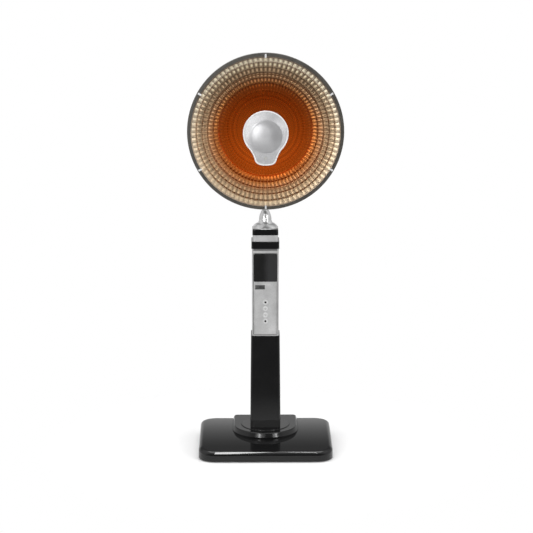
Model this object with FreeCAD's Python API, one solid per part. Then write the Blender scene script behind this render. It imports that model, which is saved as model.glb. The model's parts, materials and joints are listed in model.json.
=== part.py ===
import FreeCAD, Part
import math
import os

Vector = FreeCAD.Vector
UP = Vector(0, 0, 1)
BACK = Vector(0, 1, 0)
SIDE = Vector(1, 0, 0)

# All sizes are millimetres. The origin is the middle of the base on the floor.
# The heater faces -Y, and +X is on the right of someone who looks at its front.

# Fits
fit = 0.05                  # radial room of a pin, plug or shaft
slip = 0.3                  # room round a piece that slides or drops in

# Base
axis_y = 27.0               # swivel axis, behind the middle of the base
base_width = 352.0
base_depth = 290.0
base_corner = 44.0          # plan corners
base_lift = 3.0             # underside above the floor, and height of the feet
base_front = 28.0           # height of the top at the front
base_crown = 41.0           # height of the top at its highest
base_crown_y = 60.0
base_back = 38.5            # height of the top at the back
base_edge = 12.0            # rounding of the top edge
base_wall = 2.5
floor_thickness = 2.5
foot_radius = 12.0
foot_inset_x = 58.0         # middle of a foot from the side of the base
foot_inset_y = 47.0         # and from its front or back
boss_radius = 6.0
boss_inset_x = 26.0         # screw from the side of the base
boss_inset_y = 29.0         # and from its front or back
ballast_inset_x = 66.0      # ballast from the side of the base
ballast_inset_y = 21.0      # and from its front
ballast_back = 12.0         # back of the ballast, in front of the middle of the base
ballast_height = 10.0
ballast_corner = 12.0
motor_radius = 25.0
motor_height = 16.0
motor_socket = 10.0         # depth of the hole that takes the drive shaft
gland_inset = 81.0          # from the side of the base
gland_z = 14.0
gland_radius = 6.5
gland_flange = 8.0
gland_flange_thickness = 2.5 # inside the wall
gland_recess = 1.0          # outer flange, flush with the wall
gland_bore = 3.8

# Tip-over switch
tip_inset = 48.0            # from the side of the base
tip_y = 10.0
tip_width = 26.0
tip_depth = 18.0
tip_height = 16.0
plunger_radius = 4.0
plunger_collar = 6.0
plunger_collar_height = 2.0
plunger_travel = 4.0
plunger_length = 16.0

# Screws
base_screw_shank = 2.0
base_screw_head = 4.0
base_screw_head_height = 2.2
base_screw_length = 9.0

# Raised plate and swivel
plate_radius = 88.0         # round front of the plate
plate_back = 98.0           # flat back of the plate, behind the axis
plate_corner = 14.0
plate_seat = 31.0           # underside of the plate
plate_top = 53.6
plate_upright = 1.0         # upright part of the side, above the crown of the base
plate_lean = 4.5            # how far the top is drawn in from the foot of the side
plate_wall = 4.5
plate_skin = 4.0            # thickness of the top of the plate, below the disc
plate_edge = 3.0
plate_boss = 34.0
bush_radius = 26.0
bush_flange = 32.0
bush_flange_thickness = 1.0
disc_radius = 63.5
disc_thickness = 5.0
disc_sink = 4.5             # depth of the round recess that takes the disc
disc_room = 1.2             # gap round the disc
disc_edge = 1.2
shaft_radius = 20.0
shaft_bore = 16.0           # also the outside of the mast
shaft_bottom = 26.0
shaft_end = 4.0             # thickness of the closed lower end
shaft_flange = 30.0
shaft_flange_thickness = 4.0
retainer_radius = 30.0
retainer_thickness = 2.2
drive_radius = 3.5

# Column
foot_width = 80.0
foot_depth = 72.0
foot_corner = 10.0
foot_wall = 4.0
foot_height = 20.0
column_width_low = 80.6
column_depth_low = 76.0
column_width_high = 76.0
column_depth_high = 71.0
column_corner = 8.0
column_wall = 2.5
column_lid = 3.0            # closes both ends of the column
column_height = 230.9
column_boss = 5.0
column_boss_x = 27.0
column_boss_inset = 40.0    # from either end of the shells
column_screw_shank = 1.8
column_screw_head = 3.2
column_screw_recess = 6.0
column_screw_head_height = 2.0
column_screw_length = 10.0  # reach of the screws into the front shell
mast_bore = 14.0

# Controls
housing_width = 70.3
housing_depth = 66.0
housing_corner = 6.0
housing_wall = 2.5
housing_height = 229.0
inset_depth = 1.2           # depth of the pockets for the panel and the window
inset_ledge = 3.0           # width of the ledge that carries them
panel_width = 55.6
panel_height = 137.0
panel_above = 4.0           # lower edge of the panel above the black column
panel_thickness = 2.0
panel_corner = 2.5
window_width = 61.0
window_below = 8.0          # upper edge of the window below the top of the housing
window_above = 5.0          # lower edge of the window above the panel
window_thickness = 2.0
button_radius = 5.2
button_pitch = 17.0
button_below = 50.0         # first button below the upper edge of the panel
button_proud = 1.6
button_flange = 6.6
button_flange_thickness = 1.2
button_stem = 2.0
button_travel = 1.2
ring_radius = 7.2
ring_thickness = 0.7
board_width = 44.0
board_height = 118.0
board_thickness = 1.6
board_post = 8.0            # length of the posts between panel and board
board_post_radius = 2.5
board_post_x = 17.0
board_post_inset = 8.0      # from either end of the board
tact_size = 6.0
tact_height = 3.5
display_width = 57.0
display_inset = 1.5         # display board inside the window, above and below

# Bands on top of the column
trim_width = 71.0
trim_depth = 67.0
trim_height = 5.0
collar_width = 73.3
collar_depth = 69.0
collar_height = 19.0
band_width = 66.7
band_depth = 64.0
band_height = 17.0
cap_width = 68.0
cap_depth = 66.0
cap_height = 15.0
cap_lid = 4.0
cap_edge = 3.0
band_wall = 6.0             # wall of all four bands
band_corner = 7.0

# Chrome bell and neck
neck_radius = 8.0
neck_bore = 6.0
neck_plug = 45.0            # length of the plug that holds the neck in the mast
bell_flange = 33.0
bell_flange_edge = 2.0
bell_crown = 29.0           # radii of the bell, each with its height above the cap
bell_crown_z = 7.5
bell_shoulder = 20.0
bell_shoulder_z = 13.0
bell_hollow = 17.2
bell_hollow_z = 17.5
bell_throat = 16.2
bell_throat_z = 24.0
bell_waist = 15.6
bell_waist_z = 30.0
bell_cheek = 13.4
bell_cheek_z = 37.5
bell_lip = 9.6
bell_top_z = 46.0
neck_screw_z = 30.5
neck_screw_shank = 1.5
neck_screw_head = 2.6
neck_screw_sink = 1.4

# Tilting joint
fork_socket = 13.0
fork_socket_length = 30.0
fork_gap = 12.0             # between the cheeks
fork_cheek = 6.0
fork_round = 13.0
fork_yoke = 6.0
fork_floor = 16.0           # yoke below the bolt
bolt_radius = 4.0
bolt_head = 7.0
bolt_head_thickness = 5.0
lug_round = 12.0
lug_drop = 17.0             # bolt below the plate of the lug
lug_plate = 4.0
lug_plate_width = 30.0
lug_plate_depth = 44.0

# Dish
dish_z = 859.0              # height of the axis of the dish
dish_front_y = -100.0       # front of the rim
rim_radius = 199.0
rim_lip = 10.5              # width of the front of the rim
rim_depth = 18.0
rim_wall = 2.0
bowl_lip = 10.0             # mouth of the bowl, inside the outside of the rim
bowl_depth = 86.0
bowl_flat = 50.0            # flat middle of the bowl
reflector_thickness = 0.8
step_count = 5
step_pitch = 14.0
step_drop = 3.0             # fall of a tread
step_run = 2.0              # lean of a riser
shell_thickness = 0.8
shell_gap = 6.0             # between reflector and outer bowl at the middle
shell_lip = 7.0             # mouth of the outer bowl, inside the outside of the rim
shell_belly_inset = 52.0    # a radius half way down the outer bowl, inside its mouth
shell_belly_depth = 56.0
shell_flat = 60.0
clip_count = 6
clip_width = 4.5
clip_inset = 2.4            # outer end of a clip, inside the outside of the rim
clip_length = 9.0
clip_foot_length = 5.0
clip_thickness = 1.2

# Guard
wire_count = 90
wire_radius = 0.8
weld = 0.02                 # between crossing wires
guard_inset = 10.0          # outer ring, inside the outside of the rim
guard_ring_radius = 1.4
guard_middle = 147.0
hub_radius = 46.0
hub_thickness = 5.0
hub_bulge = 18.5            # middle of the hub in front of the rim

# Badge
badge_radius = 57.6
badge_low = 0.8             # middle of the badge below the axis of the dish
badge_thickness = 4.0
badge_cheek_angle = 45.0    # where the round part ends, below the horizontal
badge_waist = 32.9          # half widths of the lower part, each with its drop below the middle
badge_waist_drop = 53.6
badge_lobe = 27.6
badge_lobe_drop = 67.2
badge_heel = 23.6
badge_heel_drop = 74.8
badge_toe = 15.5
badge_toe_drop = 79.8
badge_drop = 81.6
dome_radius = 42.0
dome_height = 7.0
dome_drop = 9.0
dome_edge = 1.0
badge_screw_drop = 62.6
badge_screw_radius = 4.0
badge_screw_height = 1.2

# Lamp
holder_radius = 18.0
holder_flange = 28.0
holder_front = 30.0         # holder in front of the flat of the bowl
holder_back = 16.0          # holder behind the outer bowl
lamp_radius = 7.0
lamp_wall = 1.2
lamp_length = 64.0
lamp_socket = 8.0
filament_radius = 1.2

# Can behind the dish
can_radius = 50.0
can_wall = 2.0
can_flange = 58.0
can_flange_thickness = 3.0
can_depth = 60.0
can_bulge = 6.0             # how far the back of the can is domed
can_pad = 4.0               # flat pad below the can
can_pad_width = 34.0
can_pad_depth = 48.0
vent_count = 7
vent_pitch = 9.0
vent_width = 3.0
vent_length = 44.0
can_screw_circle = 54.0
can_screw_shank = 1.5
can_screw_head = 2.8
can_screw_head_height = 1.8
can_screw_count = 4
terminal_x = -33.0
terminal_width = 16.0
terminal_depth = 18.0
terminal_height = 26.0
cutout_x = 33.0
cutout_radius = 8.0
cutout_height = 9.0

# Levels that follow from the sizes
foot_x = base_width / 2 - foot_inset_x
foot_y = base_depth / 2 - foot_inset_y
boss_x = base_width / 2 - boss_inset_x
boss_y = base_depth / 2 - boss_inset_y
gland_x = base_width / 2 - gland_inset
tip_x = base_width / 2 - tip_inset
ballast_width = base_width - 2 * ballast_inset_x
ballast_front = ballast_inset_y - base_depth / 2
ballast_depth = -ballast_back - ballast_front
ballast_y = (ballast_front - ballast_back) / 2
floor_top = base_lift + floor_thickness
tip_chamber = plunger_collar_height + plunger_travel + 2 * slip
plate_bend = base_crown + plate_upright
recess_floor = plate_top - disc_sink
bush_top = recess_floor + bush_flange_thickness
disc_top = bush_top + disc_thickness
foot_top = disc_top + foot_height
column_top = foot_top + column_height
housing_top = column_top + housing_height
trim_top = housing_top + trim_height
collar_top = trim_top + collar_height
band_top = collar_top + band_height
cap_top = band_top + cap_height
mast_top = cap_top - cap_lid
housing_front = axis_y - housing_depth / 2
panel_bottom = column_top + panel_above
panel_top = panel_bottom + panel_height
panel_back = housing_front + inset_depth
panel_front = panel_back - panel_thickness
window_bottom = panel_top + window_above
window_top = housing_top - window_below
board_front = panel_back + board_post
button_z = [panel_top - button_below - button_pitch * place for place in range(4)]
lug_seat = dish_z - can_radius - can_pad
tilt_z = lug_seat - lug_plate - lug_drop
yoke_top = tilt_z - fork_floor
yoke_bottom = yoke_top - fork_yoke
cheek_outer = fork_gap / 2 + fork_cheek
rim_inner = rim_radius - rim_lip
bowl_radius = rim_radius - bowl_lip
shell_mouth = rim_radius - shell_lip
shell_belly = shell_mouth - shell_belly_inset
clip_outer = rim_radius - clip_inset
clip_inner = clip_outer - clip_length
clip_foot = clip_outer - clip_foot_length
guard_outer = rim_radius - guard_inset
reflector_y = dish_front_y + rim_wall
shell_y = reflector_y + reflector_thickness
flange_radius = rim_radius - rim_wall - slip
bowl_back = reflector_y + bowl_depth + reflector_thickness
shell_back = bowl_back + shell_gap + shell_thickness
hub_y = dish_front_y - hub_bulge
badge_back = hub_y - hub_thickness / 2
badge_front = badge_back - badge_thickness
holder_tip = bowl_back - reflector_thickness - holder_front
lamp_back = holder_tip + lamp_socket
lamp_front = lamp_back - lamp_length


# Simple shapes

def box(x0, x1, y0, y1, z0, z1):
    return Part.makeBox(x1 - x0, y1 - y0, z1 - z0, Vector(x0, y0, z0))


def post(radius, x, y, z0, z1):
    return Part.makeCylinder(radius, z1 - z0, Vector(x, y, z0), UP)


def rod_y(radius, x, z, y0, y1):
    return Part.makeCylinder(radius, y1 - y0, Vector(x, y0, z), BACK)


def rod_x(radius, y, z, x0, x1):
    return Part.makeCylinder(radius, x1 - x0, Vector(x0, y, z), SIDE)


def fused(shapes):
    return shapes[0].multiFuse(shapes[1:]).removeSplitter()


def edge(*points):
    if len(points) == 2:
        return Part.LineSegment(*points).toShape()
    return Part.Arc(*points).toShape()


def face(edges):
    return Part.Face(Part.Wire(edges))


def turn(angle, radius):
    return Vector(radius * math.cos(math.radians(angle)), radius * math.sin(math.radians(angle)), 0)


def rounded_wire(width, depth, corner, y, z):
    arcs = []
    for start, side_x, side_y in ((0, 1, 1), (90, -1, 1), (180, -1, -1), (270, 1, -1)):
        centre = Vector(side_x * (width / 2 - corner), y + side_y * (depth / 2 - corner), z)
        arcs.append([centre + turn(start + part, corner) for part in (0, 45, 90)])
    edges = []
    for here, following in zip(arcs, arcs[1:] + arcs[:1]):
        edges.append(edge(*here))
        edges.append(edge(here[2], following[0]))
    return Part.Wire(edges)


def rounded_prism(width, depth, corner, y, z0, z1):
    return Part.Face(rounded_wire(width, depth, corner, y, z0)).extrude(Vector(0, 0, z1 - z0))


def band(width, depth, z0, z1):
    outer = rounded_prism(width, depth, band_corner, axis_y, z0, z1)
    inner_width = width - 2 * band_wall
    inner_depth = depth - 2 * band_wall
    return outer.cut(rounded_prism(inner_width, inner_depth, band_corner - band_wall, axis_y, z0, z1))


def turned_up(edges):
    return face(edges).revolve(Vector(0, axis_y, 0), UP, 360)


def turned_back(edges):
    return face(edges).revolve(Vector(0, 0, dish_z), BACK, 360)


def bulge_edge(rim, tip_y):
    height = abs(rim.y - tip_y)
    ball = (rim.x ** 2 + height ** 2) / (2 * height)
    sag = ball - math.sqrt(ball ** 2 - (rim.x / 2) ** 2)
    towards_rim = math.copysign(sag, rim.y - tip_y)
    return edge(rim, on_dish(rim.x / 2, tip_y + towards_rim), on_dish(0, tip_y))


def on_neck(radius, z):
    return Vector(radius, axis_y, z)


def on_dish(radius, y):
    return Vector(radius, y, dish_z)


def chain(points):
    return [edge(here, there) for here, there in zip(points, points[1:])]


def around_dish(shape, angle):
    return shape.rotated(Vector(0, 0, dish_z), BACK, angle)


def screw_up(x, y, z, shank, length, head, head_height):
    return fused([post(head, x, y, z - head_height, z), post(shank, x, y, z, z + length)])


# Base

def base_block(inset, bottom):
    plan = rounded_prism(base_width - 2 * inset, base_depth - 2 * inset, base_corner - inset, 0, bottom,
                         base_crown + base_wall)
    crown = edge(Vector(0, -base_depth / 2, base_front), Vector(0, base_crown_y, base_crown),
                 Vector(0, base_depth / 2, base_back)).Curve
    axis = Vector(-base_width, crown.Center.y, crown.Center.z)
    roof = Part.makeCylinder(crown.Radius - inset, 2 * base_width, axis, SIDE).rotated(axis, SIDE, 180)
    block = plan.common(roof)
    rim = [item for item in block.Edges if item.BoundBox.ZMin > (base_lift + base_front) / 2]
    return block.makeFillet(base_edge - inset, rim)


def plate_outline(grow, z0):
    radius = plate_radius + grow
    back = axis_y + plate_back + grow
    corner = plate_corner + grow
    diagonal = corner * math.sqrt(0.5)
    right = Vector(radius, axis_y, z0)
    left = Vector(-radius, axis_y, z0)
    right_side = Vector(radius, back - corner, z0)
    left_side = Vector(-radius, back - corner, z0)
    right_bend = Vector(radius - corner + diagonal, back - corner + diagonal, z0)
    left_bend = Vector(-radius + corner - diagonal, back - corner + diagonal, z0)
    right_back = Vector(radius - corner, back, z0)
    left_back = Vector(-radius + corner, back, z0)
    outline = [edge(left, Vector(0, axis_y - radius, z0), right)]
    outline.append(edge(right, right_side))
    outline.append(edge(right_side, right_bend, right_back))
    outline.append(edge(right_back, left_back))
    outline.append(edge(left_back, left_bend, left_side))
    outline.append(edge(left_side, left))
    return Part.Wire(outline)


def plate_prism(grow, z0, z1):
    return Part.Face(plate_outline(grow, z0)).extrude(Vector(0, 0, z1 - z0))


def base_screw_places():
    return [(side_x * boss_x, side_y * boss_y) for side_x in (-1, 1) for side_y in (-1, 1)]


def base_cover():
    outside = base_block(0, base_lift)
    shell = outside.cut(base_block(base_wall, base_lift - base_wall))
    pad = plate_prism(base_wall, plate_seat - base_wall, base_crown + base_wall).common(outside)
    bosses = [post(boss_radius, x, y, floor_top, base_crown).common(outside) for x, y in base_screw_places()]
    shell = fused([shell, pad] + bosses)
    shell = shell.cut(plate_prism(slip, plate_seat, base_crown + base_wall))
    shell = shell.cut(post(shaft_radius + slip, 0, axis_y, base_lift, base_crown))
    for x, y in base_screw_places():
        shell = shell.cut(post(base_screw_shank + fit, x, y, floor_top, base_lift + base_screw_length + slip))
    wall_back = base_depth / 2
    shell = shell.cut(rod_y(gland_flange + fit, gland_x, gland_z, wall_back - gland_recess, wall_back))
    return shell.cut(rod_y(gland_radius + fit, gland_x, gland_z, wall_back - 2 * base_wall, wall_back))


def base_floor():
    room = base_wall + slip
    plate = rounded_prism(base_width - 2 * room, base_depth - 2 * room, base_corner - room, 0,
                          base_lift, floor_top)
    for x, y in base_screw_places():
        plate = plate.cut(post(base_screw_shank + fit, x, y, base_lift, floor_top))
    return plate.cut(post(plunger_radius + slip, tip_x, tip_y, base_lift, floor_top))


def base_feet():
    places = [(side_x * foot_x, side_y * foot_y) for side_x in (-1, 1) for side_y in (-1, 1)]
    return Part.makeCompound([post(foot_radius, x, y, 0, base_lift) for x, y in places])


def base_screws():
    screws = []
    for x, y in base_screw_places():
        screws.append(screw_up(x, y, base_lift, base_screw_shank, base_screw_length, base_screw_head,
                               base_screw_head_height))
    return Part.makeCompound(screws)


def ballast_plate():
    return rounded_prism(ballast_width, ballast_depth, ballast_corner, ballast_y, floor_top,
                         floor_top + ballast_height)


def tip_switch():
    case = box(tip_x - tip_width / 2, tip_x + tip_width / 2, tip_y - tip_depth / 2, tip_y + tip_depth / 2,
               floor_top, floor_top + tip_height)
    chamber = post(plunger_collar + slip, tip_x, tip_y, floor_top, floor_top + tip_chamber)
    bore = post(plunger_radius + slip, tip_x, tip_y, floor_top, floor_top + tip_height)
    return case.cut(chamber).cut(bore)


def tip_plunger():
    collar_top_z = floor_top + tip_chamber - slip
    collar = post(plunger_collar, tip_x, tip_y, collar_top_z - plunger_collar_height, collar_top_z)
    return fused([post(plunger_radius, tip_x, tip_y, 0, plunger_length), collar])


def cord_gland():
    wall_back = base_depth / 2
    wall_front = wall_back - base_wall
    body = rod_y(gland_radius, gland_x, gland_z, wall_front, wall_back)
    outside = rod_y(gland_flange, gland_x, gland_z, wall_back - gland_recess, wall_back)
    inside = rod_y(gland_flange, gland_x, gland_z, wall_front - gland_flange_thickness, wall_front)
    bore = rod_y(gland_bore, gland_x, gland_z, wall_front - gland_flange_thickness, wall_back)
    return fused([body, outside, inside]).cut(bore)


def pedestal_plate():
    upper = Part.makeLoft([plate_outline(0, plate_bend), plate_outline(-plate_lean, plate_top)], True, True)
    rim = [item for item in upper.Edges if item.BoundBox.ZMin > (plate_bend + plate_top) / 2]
    block = fused([plate_prism(0, plate_seat, plate_bend), upper.makeFillet(plate_edge, rim)])
    hollow = plate_prism(-plate_wall, plate_seat, recess_floor - plate_skin)
    hollow = hollow.cut(post(plate_boss, 0, axis_y, plate_seat, plate_top))
    block = block.cut(hollow).cut(post(bush_radius + fit, 0, axis_y, plate_seat, plate_top))
    return block.cut(post(disc_radius + disc_room, 0, axis_y, recess_floor, plate_top))


def swivel_bush():
    sleeve = post(bush_radius, 0, axis_y, plate_seat, recess_floor)
    flange = post(bush_flange, 0, axis_y, recess_floor, bush_top)
    return fused([sleeve, flange]).cut(post(shaft_radius + fit, 0, axis_y, plate_seat, bush_top))


def swing_motor():
    case = post(motor_radius, 0, axis_y, floor_top, floor_top + motor_height)
    socket_floor = floor_top + motor_height - motor_socket
    return case.cut(post(drive_radius + fit, 0, axis_y, socket_floor, floor_top + motor_height))


# Swivel

def swivel_disc():
    disc = post(disc_radius, 0, axis_y, bush_top, disc_top)
    rim = [item for item in disc.Edges if item.BoundBox.ZMin > (bush_top + disc_top) / 2]
    return disc.makeFillet(disc_edge, rim).cut(post(shaft_radius + fit, 0, axis_y, bush_top, disc_top))


def swivel_shaft():
    flange_top = disc_top + shaft_flange_thickness
    tube = post(shaft_radius, 0, axis_y, shaft_bottom, flange_top)
    tube = fused([tube, post(shaft_flange, 0, axis_y, disc_top, flange_top)])
    tube = tube.cut(post(shaft_bore + fit, 0, axis_y, shaft_bottom + shaft_end, flange_top))
    return tube.cut(post(drive_radius + fit, 0, axis_y, shaft_bottom, shaft_bottom + shaft_end))


def shaft_retainer():
    top = plate_seat - base_wall - slip
    ring = post(retainer_radius, 0, axis_y, top - retainer_thickness, top)
    return ring.cut(post(shaft_radius + fit, 0, axis_y, top - retainer_thickness, top))


def drive_shaft():
    bottom = floor_top + motor_height - motor_socket + slip
    return post(drive_radius, 0, axis_y, bottom, shaft_bottom + shaft_end)


# Column

def column_size(z):
    share = (z - foot_top) / column_height
    width = column_width_low + (column_width_high - column_width_low) * share
    depth = column_depth_low + (column_depth_high - column_depth_low) * share
    return width, depth


def column_solid(inset, z0, z1):
    wires = []
    for z in (z0, z1):
        width, depth = column_size(z)
        wires.append(rounded_wire(width - 2 * inset, depth - 2 * inset, column_corner - inset, axis_y, z))
    return Part.makeLoft(wires, True, True)


def column_screw_places():
    heights = (foot_top + column_boss_inset, column_top - column_boss_inset)
    return [(side * column_boss_x, z) for side in (-1, 1) for z in heights]


def column_seat(z):
    return axis_y + column_size(z)[1] / 2 - column_screw_recess


def column_foot():
    outer = rounded_prism(foot_width, foot_depth, foot_corner, axis_y, disc_top, foot_top)
    inner_width = foot_width - 2 * foot_wall
    inner_depth = foot_depth - 2 * foot_wall
    inner = rounded_prism(inner_width, inner_depth, foot_corner - foot_wall, axis_y, disc_top, foot_top)
    return outer.cut(inner)


def column_half(y0, y1):
    outer = column_solid(0, foot_top, column_top)
    shell = outer.cut(column_solid(column_wall, foot_top + column_lid, column_top - column_lid))
    shell = shell.cut(post(shaft_bore + slip, 0, axis_y, foot_top, column_top))
    bosses = [rod_y(column_boss, x, z, y0, y1).common(outer) for x, z in column_screw_places()]
    half = box(-column_width_low, column_width_low, y0, y1, foot_top, column_top)
    return fused([shell.common(half)] + bosses)


def column_front():
    shell = column_half(axis_y - column_depth_low, axis_y)
    for x, z in column_screw_places():
        shell = shell.cut(rod_y(column_screw_shank + fit, x, z, axis_y - column_screw_length - slip, axis_y))
    return shell


def column_rear():
    shell = column_half(axis_y, axis_y + column_depth_low)
    for x, z in column_screw_places():
        shell = shell.cut(rod_y(column_screw_shank + fit, x, z, axis_y, axis_y + column_depth_low))
        shell = shell.cut(rod_y(column_screw_head + slip, x, z, column_seat(z), axis_y + column_depth_low))
    return shell


def column_screws():
    screws = []
    for x, z in column_screw_places():
        seat = column_seat(z)
        head = rod_y(column_screw_head, x, z, seat, seat + column_screw_head_height)
        screws.append(fused([head, rod_y(column_screw_shank, x, z, axis_y - column_screw_length, seat)]))
    return Part.makeCompound(screws)


def mast_tube():
    bottom = shaft_bottom + shaft_end
    tube = post(shaft_bore, 0, axis_y, bottom, mast_top)
    return tube.cut(post(mast_bore, 0, axis_y, bottom, mast_top))


# Controls

def upright_plate(width, corner, z0, z1, y0, y1):
    outline = rounded_wire(width, z1 - z0, corner, 0, 0)
    plate = Part.Face(outline).extrude(Vector(0, 0, y1 - y0))
    plate = plate.rotated(Vector(0, 0, 0), SIDE, 90)
    return plate.translated(Vector(0, y1, (z0 + z1) / 2))


def control_housing():
    body = rounded_prism(housing_width, housing_depth, housing_corner, axis_y, column_top, housing_top)
    body = body.cut(rounded_prism(housing_width - 2 * housing_wall, housing_depth - 2 * housing_wall,
                                  housing_corner - housing_wall, axis_y, column_top, housing_top))
    for width, z0, z1 in ((panel_width, panel_bottom, panel_top), (window_width, window_bottom, window_top)):
        outside = housing_front - housing_wall
        body = body.cut(upright_plate(width, panel_corner, z0, z1, outside, panel_back))
        inside = housing_front + 2 * housing_wall
        body = body.cut(upright_plate(width - 2 * inset_ledge, panel_corner, z0 + inset_ledge,
                                      z1 - inset_ledge, outside, inside))
    return body


def board_bottom():
    return (panel_bottom + panel_top - board_height) / 2


def control_panel():
    plate = upright_plate(panel_width - 2 * slip, panel_corner, panel_bottom + slip, panel_top - slip,
                          panel_front, panel_back)
    posts = []
    for side in (-1, 1):
        for z in (board_bottom() + board_post_inset, board_bottom() + board_height - board_post_inset):
            posts.append(rod_y(board_post_radius, side * board_post_x, z, panel_back, board_front))
    plate = fused([plate] + posts)
    for z in button_z:
        plate = plate.cut(rod_y(button_radius + slip, 0, z, panel_front, panel_back))
    return plate


def button_rings():
    rings = []
    for z in button_z:
        ring = rod_y(ring_radius, 0, z, panel_front - ring_thickness, panel_front)
        rings.append(ring.cut(rod_y(button_radius + slip, 0, z, panel_front - ring_thickness, panel_front)))
    return Part.makeCompound(rings)


def button(z):
    cap = rod_y(button_radius, 0, z, panel_front - button_proud, panel_back)
    flange = rod_y(button_flange, 0, z, panel_back, panel_back + button_flange_thickness)
    stem_end = board_front - tact_height - button_travel - slip
    return fused([cap, flange, rod_y(button_stem, 0, z, panel_back, stem_end)])


def control_board():
    return box(-board_width / 2, board_width / 2, board_front, board_front + board_thickness,
               board_bottom(), board_bottom() + board_height)


def tact_switches():
    half = tact_size / 2
    return Part.makeCompound([box(-half, half, board_front - tact_height, board_front, z - half, z + half)
                              for z in button_z])


def display_window():
    return upright_plate(window_width - 2 * slip, panel_corner, window_bottom + slip, window_top - slip,
                         panel_back - window_thickness, panel_back)


def display_board():
    front = housing_front + housing_wall
    return box(-display_width / 2, display_width / 2, front, front + board_thickness,
               window_bottom + display_inset, window_top - display_inset)


# Bands, bell and neck

def column_cap():
    block = rounded_prism(cap_width, cap_depth, band_corner, axis_y, band_top, cap_top)
    rim = [item for item in block.Edges if item.BoundBox.ZMin > (band_top + cap_top) / 2]
    block = block.makeFillet(cap_edge, rim)
    inner_width = cap_width - 2 * band_wall
    inner_depth = cap_depth - 2 * band_wall
    hollow = rounded_prism(inner_width, inner_depth, band_corner - band_wall, axis_y, band_top, mast_top)
    return block.cut(hollow).cut(post(neck_radius + fit, 0, axis_y, mast_top, cap_top))


def neck_bell():
    def spot(radius, height):
        return on_neck(radius, cap_top + height)

    bore = neck_radius + fit
    rim = spot(bell_flange, bell_flange_edge)
    shoulder = spot(bell_shoulder, bell_shoulder_z)
    throat = spot(bell_throat, bell_throat_z)
    waist = spot(bell_waist, bell_waist_z)
    lip = spot(bell_lip, bell_top_z)
    outline = chain([lip, spot(bore, bell_top_z), spot(bore, 0), spot(bell_flange, 0), rim])
    outline.append(edge(rim, spot(bell_crown, bell_crown_z), shoulder))
    outline.append(edge(shoulder, spot(bell_hollow, bell_hollow_z), throat))
    outline.append(edge(throat, waist))
    outline.append(edge(waist, spot(bell_cheek, bell_cheek_z), lip))
    bell = turned_up(outline)
    z = cap_top + neck_screw_z
    seat = axis_y - bell_waist + neck_screw_sink
    bell = bell.cut(rod_y(neck_screw_head + slip, 0, z, axis_y - bell_flange, seat))
    return bell.cut(rod_y(neck_screw_shank + fit, 0, z, axis_y - bell_flange, axis_y))


def neck_screw():
    z = cap_top + neck_screw_z
    seat = axis_y - bell_waist + neck_screw_sink
    head = rod_y(neck_screw_head, 0, z, seat - neck_screw_sink, seat)
    shank = rod_y(neck_screw_shank, 0, z, seat, axis_y - neck_radius + neck_screw_shank / 2)
    return fused([head, shank]).cut(post(neck_radius + fit, 0, axis_y, cap_top, cap_top + bell_top_z))


def neck_socket():
    plug = post(mast_bore - fit, 0, axis_y, mast_top - neck_plug, mast_top)
    return plug.cut(post(neck_radius + fit, 0, axis_y, mast_top - neck_plug, mast_top))


def neck_tube():
    tube = post(neck_radius, 0, axis_y, mast_top - neck_plug, yoke_bottom)
    return tube.cut(post(neck_bore, 0, axis_y, mast_top - neck_plug, yoke_bottom))


# Tilting joint

def tilt_fork():
    socket = post(fork_socket, 0, axis_y, yoke_bottom - fork_socket_length, yoke_bottom)
    socket = socket.cut(post(neck_radius + fit, 0, axis_y, yoke_bottom - fork_socket_length, yoke_bottom))
    front = axis_y - fork_round
    back = axis_y + fork_round
    yoke = box(-cheek_outer, cheek_outer, front, back, yoke_bottom, yoke_top)
    cheeks = fused([box(-cheek_outer, cheek_outer, front, back, yoke_top, tilt_z),
                    rod_x(fork_round, axis_y, tilt_z, -cheek_outer, cheek_outer)])
    slot = box(-fork_gap / 2, fork_gap / 2, front, back, yoke_top, tilt_z + fork_round)
    fork = fused([socket, yoke, cheeks.cut(slot)])
    return fork.cut(rod_x(bolt_radius + fit, axis_y, tilt_z, -cheek_outer, cheek_outer))


def tilt_bolt():
    shank = rod_x(bolt_radius, axis_y, tilt_z, -cheek_outer - bolt_head_thickness, cheek_outer)
    return fused([shank, rod_x(bolt_head, axis_y, tilt_z, cheek_outer, cheek_outer + bolt_head_thickness)])


def tilt_nut():
    left = -cheek_outer - bolt_head_thickness
    points = [Vector(left, axis_y, tilt_z) + Vector(0, spot.x, spot.y)
              for spot in [turn(60 * corner, bolt_head) for corner in range(7)]]
    nut = face(chain(points)).extrude(Vector(bolt_head_thickness, 0, 0))
    return nut.cut(rod_x(bolt_radius + fit, axis_y, tilt_z, left, -cheek_outer))


def tilt_lug():
    plate = box(-lug_plate_width / 2, lug_plate_width / 2, axis_y - lug_plate_depth / 2,
                axis_y + lug_plate_depth / 2, lug_seat - lug_plate, lug_seat)
    half = fork_gap / 2 - slip
    tongue = box(-half, half, axis_y - lug_round, axis_y + lug_round, tilt_z, lug_seat - lug_plate)
    lug = fused([plate, tongue, rod_x(lug_round, axis_y, tilt_z, -half, half)])
    return lug.cut(rod_x(bolt_radius + fit, axis_y, tilt_z, -half, half))


# Dish

def bowl_level(radius):
    share = (bowl_radius ** 2 - radius ** 2) / (bowl_radius ** 2 - bowl_flat ** 2)
    return reflector_y + bowl_depth * share


def step_points():
    points = [(bowl_radius, bowl_level(bowl_radius))]
    for step in range(step_count):
        radius = bowl_radius - step * step_pitch
        following = radius - step_pitch
        points.append((following + step_run, bowl_level(radius) + step_drop))
        points.append((following, bowl_level(following)))
    return points


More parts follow.
